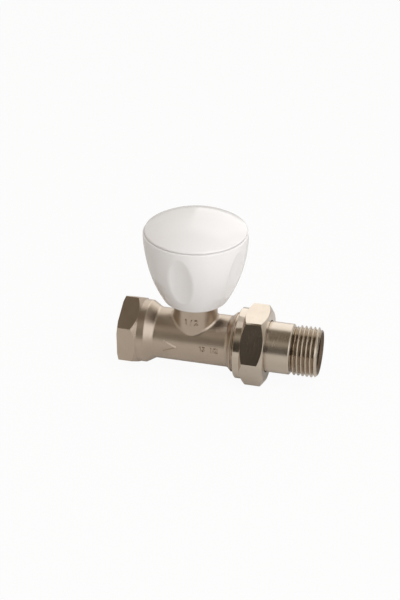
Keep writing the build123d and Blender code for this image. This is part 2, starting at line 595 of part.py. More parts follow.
# Space inside the handwheel: the wall follows the flutes, and hub and ribs are left standing
with BuildPart() as wheel_space:
    turn_wheel(WHEEL_BOTTOM - WHEEL_LOWER_ROUND, WEB_BOTTOM, WHEEL_WALL)
    cut_flutes(FLUTE_RADIUS + WHEEL_WALL)
    ring_on_spindle(0, HUB_DIAMETER / 2, DRIVE_BOTTOM, WEB_BOTTOM, mode=Mode.SUBTRACT)
    with BuildSketch(across_spindle(WEB_BOTTOM)):
        with PolarLocations(WHEEL_DIAMETER / 4, FLUTE_COUNT, start_angle=FLUTE_HEADING + 180 / FLUTE_COUNT):
            Rectangle(WHEEL_DIAMETER / 2, RIB_THICKNESS)
    extrude(amount=-RIB_HEIGHT, mode=Mode.SUBTRACT)

# Handwheel: bulged and fluted shell with a web, hub and ribs
with BuildPart() as handwheel:
    turn_wheel(WHEEL_BOTTOM, SEAM_HEIGHT)
    fillet(handwheel.edges().filter_by(Plane.XY).sort_by(Axis.Z)[0], WHEEL_LOWER_ROUND)
    fillet(handwheel.edges().filter_by(Plane.XY).sort_by(Axis.Z)[-1], WHEEL_UPPER_ROUND)
    cut_flutes(FLUTE_RADIUS)
    flute_edges = handwheel.edges().filter_by(GeomType.BSPLINE)
    fillet(flute_edges, FLUTE_ROUND)
    add(wheel_space.part, mode=Mode.SUBTRACT)
    ring_on_spindle(0, CAP_RECESS_RADIUS, WEB_TOP, SEAM_HEIGHT, mode=Mode.SUBTRACT)
    with BuildSketch(across_spindle(DRIVE_BOTTOM)) as drive_hole:
        drive_square(DRIVE_SQUARE + 2 * RUNNING_GAP, STEM_RADIUS + RUNNING_GAP)
    extrude(drive_hole.sketch, amount=WEB_TOP - DRIVE_BOTTOM, mode=Mode.SUBTRACT)

# Cap: domed lid with a spigot in the handwheel and a shadow gap at the seam
cap_radius = WHEEL_DIAMETER / 2 - CAP_INSET
dome_radius = (cap_radius**2 + CAP_RISE**2) / (2 * CAP_RISE)
dome_centre = CAP_TOP - dome_radius
spigot_outside = CAP_RECESS_RADIUS - RUNNING_GAP
spigot_inside = spigot_outside - CAP_SPIGOT_WALL


def dome_height(radius, inset=0.0):
    """Height of the cap's dome, or of its inner face, at a radius."""
    return dome_centre + sqrt((dome_radius - inset) ** 2 - radius**2)


with BuildPart() as handwheel_cap:
    with BuildSketch(SPINDLE_SECTION) as cap_section:
        with BuildLine():
            Polyline(
                (spigot_inside, dome_height(spigot_inside, CAP_WALL)),
                (spigot_inside, SEAM_HEIGHT - CAP_SPIGOT_LENGTH),
                (spigot_outside, SEAM_HEIGHT - CAP_SPIGOT_LENGTH),
                (spigot_outside, SEAM_HEIGHT),
                (cap_radius - SEAM_DEPTH, SEAM_HEIGHT),
                (cap_radius - SEAM_DEPTH, CAP_EDGE),
                (cap_radius, CAP_EDGE),
                (cap_radius, CAP_SHOULDER),
            )
            ThreePointArc(
                (cap_radius, CAP_SHOULDER),
                (cap_radius / 2, dome_height(cap_radius / 2)),
                (0, CAP_TOP),
            )
            Line((0, CAP_TOP), (0, CAP_TOP - CAP_WALL))
            ThreePointArc(
                (0, CAP_TOP - CAP_WALL),
                (spigot_inside / 2, dome_height(spigot_inside / 2, CAP_WALL)),
                (spigot_inside, dome_height(spigot_inside, CAP_WALL)),
            )
        make_face()
    revolve(axis=SPINDLE_AXIS)
    cap_rims = handwheel_cap.edges().filter_by(Plane.XY).sort_by(SortBy.RADIUS)[-2:]
    fillet(cap_rims.sort_by(Axis.Z)[-1], CAP_EDGE_ROUND)

# Screw and washer that hold the handwheel on the spindle
with BuildPart() as screw_washer:
    ring_on_spindle(TAPPED_RADIUS, WHEEL_WASHER_DIAMETER / 2, WEB_TOP, WEB_TOP + WASHER_THICKNESS)

with BuildPart() as handwheel_screw:
    slot_screw(WEB_TOP + WASHER_THICKNESS, 1, WHEEL_SCREW_LENGTH)

pieces = {
    "valve_body": valve_body,
    "union_nut": union_nut,
    "tailpiece": tailpiece,
    "tail_oring": tail_oring,
    "bonnet": bonnet,
    "bonnet_gasket": bonnet_gasket,
    "gland_packing": gland_packing,
    "gland_washer": gland_washer,
    "gland_nut": gland_nut,
    "spindle": spindle,
    "spindle_oring": spindle_oring,
    "disc_holder": disc_holder,
    "disc_seal": disc_seal,
    "disc_washer": disc_washer,
    "disc_screw": disc_screw,
    "handwheel": handwheel,
    "handwheel_cap": handwheel_cap,
    "screw_washer": screw_washer,
    "handwheel_screw": handwheel_screw,
}

os.makedirs("parts", exist_ok=True)
for name, piece in pieces.items():
    piece.part.label = name
    export_step(piece.part, f"parts/{name}.step")
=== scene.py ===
# %% [markdown]
# # Dressing a straight radiator valve
#
# The valve comes as a set of exact solids: a forged body, a union nut, a tail, a white handwheel
# with its cap, and the headwork inside. This lesson gives each surface its finish, cuts the screw
# threads, casts the marks on the body, and lights the whole like a catalogue picture.

# %% Load the solids
import json
from math import ceil, cos, pi, radians, sin, tan

import bpy
from mathutils import Matrix, Vector


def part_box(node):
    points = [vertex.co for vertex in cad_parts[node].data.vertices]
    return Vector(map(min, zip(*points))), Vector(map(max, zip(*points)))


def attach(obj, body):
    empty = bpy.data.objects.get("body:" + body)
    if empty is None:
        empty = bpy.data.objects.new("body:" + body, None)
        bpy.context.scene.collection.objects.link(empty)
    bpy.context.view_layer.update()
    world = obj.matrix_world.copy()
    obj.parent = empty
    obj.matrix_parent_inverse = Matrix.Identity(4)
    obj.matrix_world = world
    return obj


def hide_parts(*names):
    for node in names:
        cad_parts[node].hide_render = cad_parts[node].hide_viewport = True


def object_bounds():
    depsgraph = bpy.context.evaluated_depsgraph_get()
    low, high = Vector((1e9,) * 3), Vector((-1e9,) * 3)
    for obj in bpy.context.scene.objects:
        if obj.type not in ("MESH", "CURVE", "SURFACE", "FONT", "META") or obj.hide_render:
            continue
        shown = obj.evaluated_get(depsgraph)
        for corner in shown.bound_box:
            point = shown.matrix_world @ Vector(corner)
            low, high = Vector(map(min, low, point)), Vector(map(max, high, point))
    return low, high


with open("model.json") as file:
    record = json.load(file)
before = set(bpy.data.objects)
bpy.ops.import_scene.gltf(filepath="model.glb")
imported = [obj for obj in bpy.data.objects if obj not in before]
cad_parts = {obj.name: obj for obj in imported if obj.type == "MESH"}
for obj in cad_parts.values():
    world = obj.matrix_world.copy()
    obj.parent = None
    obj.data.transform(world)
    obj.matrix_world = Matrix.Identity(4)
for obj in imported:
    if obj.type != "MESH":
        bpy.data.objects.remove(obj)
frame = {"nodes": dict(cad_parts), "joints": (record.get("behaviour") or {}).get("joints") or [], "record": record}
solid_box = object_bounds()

MM = 0.001
nodes = frame["nodes"]
print("solids:", len(nodes), "box in mm:", [[round(v / MM, 2) for v in corner] for corner in solid_box])

# %% [markdown]
# ## Shader sums that read like sums
#
# A finish is a small calculation: a little more gloss here, a little darker there. Wiring Math
# nodes by hand hides that, so one class wraps a node's output and lets Python's own signs add the
# Math nodes. Every other node comes from its one method `add`: the node's type, its settings,
# then its sockets.


# %% The class that wraps a socket
class Shade:
    """One output in a node tree. Sums of shades add Math nodes to that tree."""

    def __init__(self, tree, socket=None):
        self.tree = tree
        self.socket = socket

    def add(self, kind, settings=None, inputs=None, output=0):
        """Add a node: settings first, then values or links for its sockets."""
        node = self.tree.nodes.new(kind)
        for name, value in (settings or {}).items():
            setattr(node, name, value)
        for name, value in (inputs or {}).items():
            if isinstance(value, Shade):
                self.tree.links.new(value.socket, node.inputs[name])
            else:
                node.inputs[name].default_value = value
        return Shade(self.tree, node.outputs[output]) if node.outputs else self

    def maths(self, operation, *values):
        return self.add("ShaderNodeMath", {"operation": operation}, dict(enumerate(values)))

    def __add__(self, other):
        return self.maths("ADD", self, other)

    def __radd__(self, other):
        return self.maths("ADD", other, self)

    def __sub__(self, other):
        return self.maths("SUBTRACT", self, other)

    def __rsub__(self, other):
        return self.maths("SUBTRACT", other, self)

    def __mul__(self, other):
        return self.maths("MULTIPLY", self, other)

    def __rmul__(self, other):
        return self.maths("MULTIPLY", other, self)


print("shade class ready")


# %% [markdown]
# A Math node would turn a colour grey, so colours go through a Mix node. A Map Range node with a
# smooth ramp makes the soft edges: 0 before the start, 1 after the end.


# %% Blends and soft edges
def blend(factor, low, high):
    """Mix two colours, or two shades of colour, by a shade from 0 to 1."""
    ends = [end if isinstance(end, Shade) else (*end, 1) for end in (low, high)]
    return factor.add("ShaderNodeMix", {"data_type": "RGBA"}, {0: factor, 6: ends[0], 7: ends[1]}, output=2)


def step_between(value, start, end):
    """Shade that goes smoothly from 0 at the start to 1 at the end."""
    sockets = {"Value": value, 1: start, 2: end}
    return value.add("ShaderNodeMapRange", {"interpolation_type": "SMOOTHSTEP"}, sockets)


print("blends and soft edges ready")


# %% [markdown]
# ## Spots, clouds and grain
#
# All finishes start from the place on the piece, in metres. Object coordinates give it, and they
# travel with a piece when it turns or slides. A noise read at a few millimetres gives clouds, at a
# tenth of a millimetre it gives grain, and stretched along an axis it gives drawn or turned lines.


# %% Places and noises
def new_finish(name):
    material = bpy.data.materials.new(name)
    material.use_nodes = True
    material.node_tree.nodes.clear()
    return material, Shade(material.node_tree)


def spot_of(shade):
    return shade.add("ShaderNodeTexCoord", output="Object")


def noise(spot, size, detail=3.0, stretch=(1, 1, 1)):
    """Noise whose features are about this size, in metres, along the axes that aren't stretched."""
    scale = tuple(part / size for part in stretch)
    place = spot.add("ShaderNodeMapping", inputs={"Vector": spot, "Scale": scale})
    sockets = {"Vector": place, "Scale": 1.0, "Detail": detail, "Roughness": 0.55}
    return spot.add("ShaderNodeTexNoise", inputs=sockets, output=0)


def relief(height, depth):
    """Bump of this depth in metres."""
    return height.add("ShaderNodeBump", inputs={"Strength": 1.0, "Distance": depth, "Height": height})


def surface(shade, **inputs):
    """Close a finish with the main shader. Underscores in the names stand for spaces."""
    sockets = {name.replace("_", " "): value for name, value in inputs.items()}
    skin = shade.add("ShaderNodeBsdfPrincipled", inputs=sockets)
    shade.add("ShaderNodeOutputMaterial", inputs={"Surface": skin})


print("noise helpers ready")


# %% [markdown]
# ## Satin nickel
#
# The body is forged brass, tumbled smooth and plated with nickel. Nickel is a warm grey, warmer
# than chrome. The forged skin keeps a fine, even grain that spreads reflections wide, while nut
# and tail are turned on a lathe, so they are brighter and carry fine lines round the pipe axis.
# Both could be one metal with two roughnesses. Here they are two finishes, because the lines of
# the lathe have a direction and the forged grain has none.

# %% Nickel on the forging
FORGED_DARK = (0.49, 0.405, 0.325)
FORGED_LIGHT = (0.62, 0.525, 0.43)
FORGED_ROUGHNESS = 0.26
FORGED_CLOUD = 6 * MM
FORGED_GRAIN = 0.22 * MM
FORGED_GRAIN_DEPTH = 0.012 * MM


def forged_nickel(name):
    material, shade = new_finish(name)
    spot = spot_of(shade)
    cloud = noise(spot, FORGED_CLOUD)
    grain = noise(spot, FORGED_GRAIN, detail=4.0)
    surface(
        shade,
        Base_Color=blend(0.65 * cloud + 0.35 * grain, FORGED_DARK, FORGED_LIGHT),
        Metallic=1.0,
        Roughness=FORGED_ROUGHNESS + 0.06 * cloud + 0.06 * grain,
        Normal=relief(grain, FORGED_GRAIN_DEPTH),
    )
    return material


body_nickel = forged_nickel("forged_nickel")
print("forged finish:", body_nickel.name)

# %% [markdown]
# A noise that is fine along the pipe and stretched across it gives the lines of the lathe. Threads
# get a smoother finish than the nut, which keeps the narrow strips on their flanks clear.

# %% Nickel on the turned pieces
TURNED_DARK = (0.56, 0.485, 0.40)
TURNED_LIGHT = (0.72, 0.64, 0.545)
TURNED_ROUGHNESS = 0.08
CUT_ROUGHNESS = 0.05
TURNED_CLOUD = 5 * MM
LATHE_LINE = 0.16 * MM
LATHE_LINE_DEPTH = 0.004 * MM
ROUND_THE_PIPE = (1, 0.03, 0.03)


def lathe_marks(spot):
    """Slow clouds, fine lines round the pipe axis, and the nickel colour that they give."""
    cloud = noise(spot, TURNED_CLOUD)
    lines = noise(spot, LATHE_LINE, stretch=ROUND_THE_PIPE)
    return cloud, lines, blend(0.6 * cloud + 0.4 * lines, TURNED_DARK, TURNED_LIGHT)


def turned_nickel(name, rough):
    material, shade = new_finish(name)
    cloud, lines, nickel = lathe_marks(spot_of(shade))
    surface(
        shade,
        Base_Color=nickel,
        Metallic=1.0,
        Roughness=rough + 0.05 * cloud + 0.05 * lines,
        Normal=relief(lines, LATHE_LINE_DEPTH),
    )
    return material


turned = turned_nickel("turned_nickel", TURNED_ROUGHNESS)
cut_nickel = turned_nickel("thread_nickel", CUT_ROUGHNESS)
print("turned finishes:", turned.name, cut_nickel.name)

# %% [markdown]
# ## White plastic
#
# Handwheel and cap are moulded in a white plastic with a polished skin. A flat white would look
# like chalk: the real skin has a slow waviness left by the mould, which bends reflections a
# little, and a faint unevenness of gloss from handling.

# %% Polished white plastic
PLASTIC_SHADE = (0.83, 0.82, 0.82)
PLASTIC_LIGHT = (0.87, 0.86, 0.86)
PLASTIC_ROUGHNESS = 0.05
PLASTIC_CLOUD = 12 * MM
PLASTIC_SPECK = 0.5 * MM
PLASTIC_RIPPLE = 5 * MM
PLASTIC_RIPPLE_DEPTH = 0.012 * MM


def white_plastic(name):
    material, shade = new_finish(name)
    spot = spot_of(shade)
    cloud = noise(spot, PLASTIC_CLOUD)
    ripple = noise(spot, PLASTIC_RIPPLE, detail=1.0)
    specks = noise(spot, PLASTIC_SPECK, detail=2.0)
    surface(
        shade,
        Base_Color=blend(cloud, PLASTIC_SHADE, PLASTIC_LIGHT),
        Roughness=PLASTIC_ROUGHNESS + 0.03 * cloud + 0.03 * specks,
        IOR=1.53,
        Normal=relief(ripple, PLASTIC_RIPPLE_DEPTH),
    )
    return material


plastic = white_plastic("white_plastic")
print("plastic finish:", plastic.name)

# %% [markdown]
# ## Finishes of the headwork
#
# Inside are turned brass, zinc-plated steel screws, black rubber seals, a red-brown fibre gasket
# and a white packing ring. They show when the handwheel comes off, so they get finishes of their
# own. Metals share one function with their own colours, soft rings share another.

# %% Turned metal and soft rings
HEADWORK_CLOUD = 3 * MM
HEADWORK_LINE = 0.12 * MM
ROUND_THE_SPINDLE = (0.03, 0.03, 1)
RING_GRAIN_DEPTH = 0.02 * MM


def turned_metal(name, low, high, rough):
    """Metal turned about the spindle: fine rings, with a slow change of tone."""
    material, shade = new_finish(name)
    spot = spot_of(shade)
    cloud = noise(spot, HEADWORK_CLOUD)
    lines = noise(spot, HEADWORK_LINE, stretch=ROUND_THE_SPINDLE)
    surface(
        shade,
        Base_Color=blend(0.5 * cloud + 0.5 * lines, low, high),
        Metallic=1.0,
        Roughness=rough + 0.12 * lines,
        Normal=relief(lines, LATHE_LINE_DEPTH),
    )
    return material


def soft_ring(name, low, high, rough, grain_size):
    """Rubber, fibre or packing: matt, with a grain of its own size."""
    material, shade = new_finish(name)
    spot = spot_of(shade)
    grain = noise(spot, grain_size, detail=4.0)
    surface(
        shade,
        Base_Color=blend(grain, low, high),
        Roughness=rough + 0.15 * grain,
        Normal=relief(grain, RING_GRAIN_DEPTH),
    )
    return material


print("headwork helpers ready")


# %% [markdown]
# Each solid has a slot in the record, and the slot names its finish. Nut and tail share the slot of
# the forged body, but they are turned, so they are picked out by name.


# %% Dress the solids
def dress(piece, material):
    piece.data.materials.clear()
    piece.data.materials.append(material)


finishes = {
    "plated_brass": body_nickel,
    "white_plastic": plastic,
    "bare_brass": turned_metal("turned_brass", (0.62, 0.43, 0.17), (0.80, 0.60, 0.28), 0.22),
    "steel": turned_metal("zinc_plated_steel", (0.50, 0.51, 0.52), (0.68, 0.69, 0.70), 0.25),
    "seal_rubber": soft_ring("black_rubber", (0.018, 0.018, 0.018), (0.04, 0.04, 0.042), 0.5, 0.3 * MM),
    "gasket_fibre": soft_ring("red_fibre", (0.24, 0.07, 0.045), (0.40, 0.15, 0.10), 0.7, 0.25 * MM),
    "packing_white": soft_ring("white_packing", (0.72, 0.72, 0.69), (0.86, 0.86, 0.83), 0.45, 0.4 * MM),
}
slots = {part["node"]: part["material_slot"] for part in frame["record"]["subparts"]}
for name, node in nodes.items():
    dress(node, turned if name in ("union_nut", "tailpiece") else finishes[slots[name]])
print("dressed:", len(nodes), "solids in", len(finishes) + 1, "finishes")

# %% [markdown]
# ## Turned pieces with a real thread
#
# A screw thread is a turned surface whose radius also depends on the angle: go once round, and
# the wave has moved along by one pitch. A screw modifier could sweep a tooth along a helix, but
# its ends would stay raw. Here the whole piece is one skin of rings, each ring asks a function
# for its radius at each angle, and the thread runs out cleanly where an envelope cuts it off.

# %% Piece from points and faces
SHARP_ANGLE = 40


def make_piece(name, points, faces, material, body):
    """Mesh from points in millimetres, smooth up to the sharp edges, riding on a body."""
    mesh = bpy.data.meshes.new(name)
    mesh.from_pydata([Vector(point) * MM for point in points], [], faces)
    mesh.shade_smooth()
    mesh.set_sharp_from_angle(angle=radians(SHARP_ANGLE))
    piece = bpy.data.objects.new(name, mesh)
    bpy.context.scene.collection.objects.link(piece)
    dress(piece, material)
    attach(piece, body)
    return piece


print("edges are sharp from", SHARP_ANGLE, "degrees")


# %% [markdown]
# The skin is closed: after the last ring comes the first one again. So a tube has its outside and
# its bore in one mesh, without open ends.


# %% Skin of rings
def ring_skin(rings, columns):
    """Points and faces of a closed skin: each ring is (place, radius at an angle), on the pipe axis."""
    points = []
    faces = []
    for row, (place, radius_at) in enumerate(rings):
        following = (row + 1) % len(rings)
        for column in range(columns):
            angle = 2 * pi * column / columns
            radius = radius_at(angle)
            points.append((place, radius * cos(angle), radius * sin(angle)))
            beside = (column + 1) % columns
            corners = (row, column), (row, beside), (following, beside), (following, column)
            faces.append([line * columns + spot for line, spot in corners])
    return points, faces


def steady(radius):
    return lambda angle: radius


print("ring skin ready")

# %% [markdown]
# A turned piece has no corner as sharp as a knife. A bevel modifier could round its corners, but it
# would work on the thread as well. So each corner of the outline becomes a small arc first.

# %% Rounded outline
CORNER_SHARE = 0.4  # most of a flat that one corner may take
BESIDE_ARC = 1.2  # place of the point beside an arc, in lengths of the arc's reach


def softened(outline, rounding, steps=3):
    """Outline with each corner turned into a small arc, and a point beside it that keeps flats flat."""
    soft = []
    for index, corner in enumerate(outline):
        corner = Vector(corner)
        before = Vector(outline[index - 1]) - corner
        after = Vector(outline[(index + 1) % len(outline)]) - corner
        half = before.angle(after) / 2
        reach = min(rounding / tan(half), CORNER_SHARE * before.length, CORNER_SHARE * after.length)
        before.normalize()
        after.normalize()
        middle = corner + (before + after).normalized() * reach / cos(half)
        start = corner + before * reach - middle
        finish = corner + after * reach - middle
        radius = start.length
        soft.append(corner + BESIDE_ARC * reach * before)
        for step in range(steps + 1):
            soft.append(middle + radius * start.slerp(finish, step / steps).normalized())
        soft.append(corner + BESIDE_ARC * reach * after)
    return soft


print("rounded outline ready")

# %% [markdown]
# ## The pipe thread
#
# All the pipe threads have 14 turns to the inch, flanks at 55 degrees, and crests and roots rounded
# off by a sixth of the full triangle. A clipped triangle wave has the flanks but hard edges, which
# sparkle. A cosine of the same depth and pitch has nearly the same flanks and round crests.

# %% Thread wave
THREAD_PITCH = 1.814
THREAD_TRIANGLE = 0.960491 * THREAD_PITCH
THREAD_DEPTH = THREAD_TRIANGLE * 2 / 3
RINGS_PER_PITCH = 20
THREAD_COLUMNS = 160


def thread_height(place, angle):
    """Height of a right-hand thread over its roots, where it stands on a shaft along +X."""
    return THREAD_DEPTH * (1 + cos(2 * pi * place / THREAD_PITCH - angle)) / 2


def thread_places(start, end):
    """Places of the rings of a thread, close enough to show its flanks."""
    count = ceil(abs(end - start) / THREAD_PITCH * RINGS_PER_PITCH)
    return [start + (end - start) * ring / count for ring in range(count + 1)]


print("thread depth in mm:", round(THREAD_DEPTH, 3))

# %% [markdown]
# ## The tail
#
# The tail is a turned tube: a grooved nose that enters the body, a collar that the union nut
# pulls on, a plain shank, a shoulder with a narrow relief, and the thread that screws into the
# radiator. It stands for its plain solid, so it has the same outline. The thread's own rings take
# the place of the outline's last corner.

# %% Outline and rings of the tail
SHANK_RADIUS = 10.6
SHANK_CHAMFER = 0.5
RELIEF_RADIUS = 9.25
NOSE_RADIUS = 9.45
GROOVE_RADIUS = 8.1
TAIL_BORE_RADIUS = 6.9
TAIL_MOUTH_RADIUS = 7.7
TAIL_MOUTH_LENGTH = 17.0
TAIL_MOUTH_CHAMFER = 1.2
TAIL_END_RADIUS = 9.3
COLLAR_LENGTH = 2.54
SHANK_LENGTH = 13.0
RELIEF_LENGTH = 0.5
NOSE_LENGTH = 5.2
GROOVE_INSET = 1.4
GROOVE_LENGTH = 1.9
EDGE_ROUND = 0.12

mounts = {mount["name"]: mount for mount in frame["record"]["mounts"]}
tail_low, tail_high = (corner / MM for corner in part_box("tailpiece"))
crest_radius = mounts["tail_thread"]["dims"]["r_mm"]
nose_start = tail_low.x
tail_end = tail_high.x
collar_radius = tail_high.y
collar_start = nose_start + NOSE_LENGTH
collar_end = collar_start + COLLAR_LENGTH
shank_end = collar_end + SHANK_LENGTH
thread_start = shank_end + RELIEF_LENGTH


def tail_thread_radius(place):
    """Radius at each angle, under the run-in at the relief and the chamfer at the end."""
    envelope = min(RELIEF_RADIUS + (place - thread_start), TAIL_END_RADIUS + (tail_end - place), crest_radius)
    root = crest_radius - THREAD_DEPTH
    return lambda angle: min(root + thread_height(place, angle), envelope)


tail_outline = [
    (tail_end, TAIL_MOUTH_RADIUS + TAIL_MOUTH_CHAMFER),
    (tail_end - TAIL_MOUTH_CHAMFER, TAIL_MOUTH_RADIUS),
    (tail_end - TAIL_MOUTH_LENGTH, TAIL_MOUTH_RADIUS),
    (tail_end - TAIL_MOUTH_LENGTH, TAIL_BORE_RADIUS),
    (nose_start, TAIL_BORE_RADIUS),
    (nose_start, NOSE_RADIUS),
    (nose_start + GROOVE_INSET, NOSE_RADIUS),
    (nose_start + GROOVE_INSET, GROOVE_RADIUS),
    (nose_start + GROOVE_INSET + GROOVE_LENGTH, GROOVE_RADIUS),
    (nose_start + GROOVE_INSET + GROOVE_LENGTH, NOSE_RADIUS),
    (collar_start, NOSE_RADIUS),
    (collar_start, collar_radius),
    (collar_end, collar_radius),
    (collar_end, SHANK_RADIUS),
    (shank_end - SHANK_CHAMFER, SHANK_RADIUS),
    (shank_end, SHANK_RADIUS - SHANK_CHAMFER),
    (shank_end, RELIEF_RADIUS),
    (thread_start, RELIEF_RADIUS),
    (tail_end, TAIL_END_RADIUS),
]
tail_rings = [(place, steady(radius)) for place, radius in softened(tail_outline, EDGE_ROUND)]
end_corner_rings = len(tail_rings) // len(tail_outline)
del tail_rings[-end_corner_rings:]
tail_rings += [(place, tail_thread_radius(place)) for place in thread_places(thread_start, tail_end)]
print("tail rings:", len(tail_rings), "thread in mm:", round(thread_start, 2), "to", round(tail_end, 2))

# %% [markdown]
# Two lugs in the bore take the key that turns the tail. They could be left standing by cutting
# the bore as a shape. Two plain bars that sink a little into its wall look the same, and the skin
# stays a simple turned one.

# %% Key lugs
LUG_WIDTH = 2.4
LUG_HEIGHT = 1.6
LUG_INSET = 2.0
LUG_LENGTH = 12.0


def lug(side):
    """Points of a key lug in the bore, on the +Y or the -Y side, as two rectangles along the pipe."""
    low = TAIL_MOUTH_RADIUS - LUG_HEIGHT
    high = TAIL_MOUTH_RADIUS + EDGE_ROUND
    half = side * LUG_WIDTH / 2
    ends = (tail_end - LUG_INSET - LUG_LENGTH, tail_end - LUG_INSET)
    section = ((low, -half), (high, -half), (high, half), (low, half))
    return [(place, side * radius, across) for place in ends for radius, across in section]


print("lug length in mm:", LUG_LENGTH)

# %% [markdown]
# The plating of the tail is thin where the bath hardly reaches, so the bore is dull. The bore and
# the roots of the thread also get painted shade: a darker colour where little light reaches. They
# could be pieces with finishes of their own. The distance from the pipe axis tells them apart as
# well, so one finish serves the whole skin.

# %% Finish of the tail
# Painted shade: the bore's colour is darkened because little light reaches inside it.
BORE_PAINTED_SHADE = (0.16, 0.12, 0.085)
BORE_ROUGHNESS = 0.52
BORE_EDGE = (8.95 * MM, 9.15 * MM)
# Painted shade: the roots of the thread are darkened where the flanks shade them.
ROOT_PAINTED_SHADE = (0.30, 0.245, 0.185)
ROOT_EDGE = (9.65 * MM, 9.3 * MM)
PLATED_GLOSS = 0.31
THREAD_GLOSS = 0.11
GLOSS_EDGE = 0.2


def tail_finish(name):
    """Turned nickel, shinier on the thread, with painted shade in its roots and in the bore."""
    material, shade = new_finish(name)
    spot = spot_of(shade)
    along, across, up = (
        shade.add("ShaderNodeSeparateXYZ", inputs={"Vector": spot}, output=axis) for axis in "XYZ"
    )
    square = across * across + up * up
    radius = square.maths("SQRT", square)
    # plated is 1 outside the bore and 0 inside it: it sets the gloss, and where the bore's painted shade goes.
    plated = step_between(radius, *BORE_EDGE)
    threaded = step_between(along, (shank_end - GLOSS_EDGE) * MM, shank_end * MM)
    # Painted shade in the thread roots, where the flanks shade them.
    root = threaded * step_between(radius, *ROOT_EDGE)
    rough = BORE_ROUGHNESS - PLATED_GLOSS * plated - THREAD_GLOSS * threaded
    cloud, lines, nickel = lathe_marks(spot)
    surface(
        shade,
        # Painted shade in the bore and in the thread roots, laid over the turned nickel.
        Base_Color=blend(plated, BORE_PAINTED_SHADE, blend(root, nickel, ROOT_PAINTED_SHADE)),
        Metallic=1.0,
        Roughness=rough + 0.05 * cloud + 0.05 * lines,
        Normal=relief(lines, LATHE_LINE_DEPTH),
    )
    return material


tail_nickel = tail_finish("tail_nickel")
print("tail finish:", tail_nickel.name)

# %% [markdown]
# Skin and lugs become one piece. It rides with the tail and stands for the plain solid, which is
# hidden then.

# %% Tail with its thread and lugs
BOX_FACES = ((3, 2, 1, 0), (4, 5, 6, 7), (0, 1, 5, 4), (1, 2, 6, 5), (2, 3, 7, 6), (3, 0, 4, 7))

points, faces = ring_skin(tail_rings, THREAD_COLUMNS)
for side in (1, -1):
    first = len(points)
    points += lug(side)
    faces += [[first + corner for corner in face] for face in BOX_FACES]
print("tail faces:", len(faces))
tail = make_piece("threaded_tail", points, faces, tail_nickel, "tail")
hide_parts("tailpiece")

# %% [markdown]
# ## Threads of the union and the inlet
#
# The union nut runs on a wider thread of the same pitch at the body's mouth, and the inlet has a
# thread inside its hexagon. The solids have plain walls there: the spigot at the roots, nut and
# socket at the outer diameter. The threads could replace those walls. A sleeve that is buried a
# little in its wall is simpler and leaves the solids as they are.

# %% Sleeve with a thread
THREAD_PLAY = 0.03
BURIED = 0.2


def thread_sleeve(name, places, crest, buried_radius, material, body, cut, play=0.0):
    """Sleeve whose open side carries a thread. cut limits the radius at each place."""

    def radius_at(place):
        low, high = cut(place)
        root = crest - THREAD_DEPTH + play
        return lambda angle: max(low, min(high, root + thread_height(place, angle)))

    rings = [(place, radius_at(place)) for place in places]
    rings += [(places[-1], steady(buried_radius)), (places[0], steady(buried_radius))]
    points, faces = ring_skin(rings, THREAD_COLUMNS)
    print(name, "rings:", len(rings), "faces:", len(faces))
    return make_piece(name, points, faces, material, body)


print("sleeves are buried by", BURIED, "mm")

# %% [markdown]
# Nut and spigot read the same wave, which keeps the two threads in step when the nut is unscrewed.
# The nut's thread is a little wider, so that the two never touch.

# %% Threads of spigot and nut
UNION_CREST_RADIUS = 13.22
UNION_THREAD_INSET = 1.0
NUT_THREAD_LENGTH = 8.2

spigot_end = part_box("valve_body")[1].x / MM
nut_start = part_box("union_nut")[0].x / MM
union_root = UNION_CREST_RADIUS - THREAD_DEPTH
spigot_thread_start = nut_start - UNION_THREAD_INSET
thread_sleeve(
    "spigot_thread",
    thread_places(spigot_thread_start, spigot_end - THREAD_PLAY),
    UNION_CREST_RADIUS,
    union_root - BURIED,
    cut_nickel,
    "valve",
    cut=lambda place: (
        union_root + THREAD_PLAY,
        union_root + THREAD_PLAY + min(place - spigot_thread_start, spigot_end - place),
    ),
)
thread_sleeve(
    "nut_thread",
    thread_places(nut_start + NUT_THREAD_LENGTH, nut_start + THREAD_PLAY),
    UNION_CREST_RADIUS,
    UNION_CREST_RADIUS + BURIED,
    cut_nickel,
    "union_nut",
    cut=lambda place: (
        UNION_CREST_RADIUS - min(place - nut_start, nut_start + NUT_THREAD_LENGTH - place),
        UNION_CREST_RADIUS + THREAD_PLAY,
    ),
    play=2 * THREAD_PLAY,
)

# %% [markdown]
# The inlet takes a pipe end. Its thread starts behind the chamfer of the mouth and ends before the
# bottom of the socket, where the tap that cuts it runs out.

# %% Thread of the inlet
INLET_THREAD_LENGTH = 11.4
INLET_THREAD_INSET = 0.5

socket_radius = mounts["inlet_thread"]["dims"]["r_mm"]
thread_sleeve(
    "inlet_thread",
    thread_places(INLET_THREAD_LENGTH, INLET_THREAD_INSET),
    socket_radius,
    socket_radius + BURIED,
    cut_nickel,
    "valve",
    cut=lambda place: (
        socket_radius - min(place - INLET_THREAD_INSET, INLET_THREAD_LENGTH - place),
        socket_radius - THREAD_PLAY,
    ),
)

# %% [markdown]
# ## Marks on the forging
#
# The die leaves raised marks: an arrow that shows which way the water runs, and the nominal size,
# here as plain numerals. They could be a bump in the finish, but a raised edge catches light in a
# way that a bump can't. The marks are flat outlines, made thick and then bent round the barrel or
# the boss.

# %% Round the barrel and the boss
BARREL_RADIUS = 10.82
BOSS_RADIUS = 9.1
BOSS_MARK_HEADING = radians(-89)

joints = {joint["name"]: joint for joint in frame["joints"]}
spindle_place = joints["handwheel_turn"]["pos_m"][0] / MM


def on_barrel(place, along, rise):
    """Point on the barrel: along is the way round it, up from straight in front."""
    angle = along / BARREL_RADIUS
    radius = BARREL_RADIUS + rise
    return (place, -radius * cos(angle), radius * sin(angle))


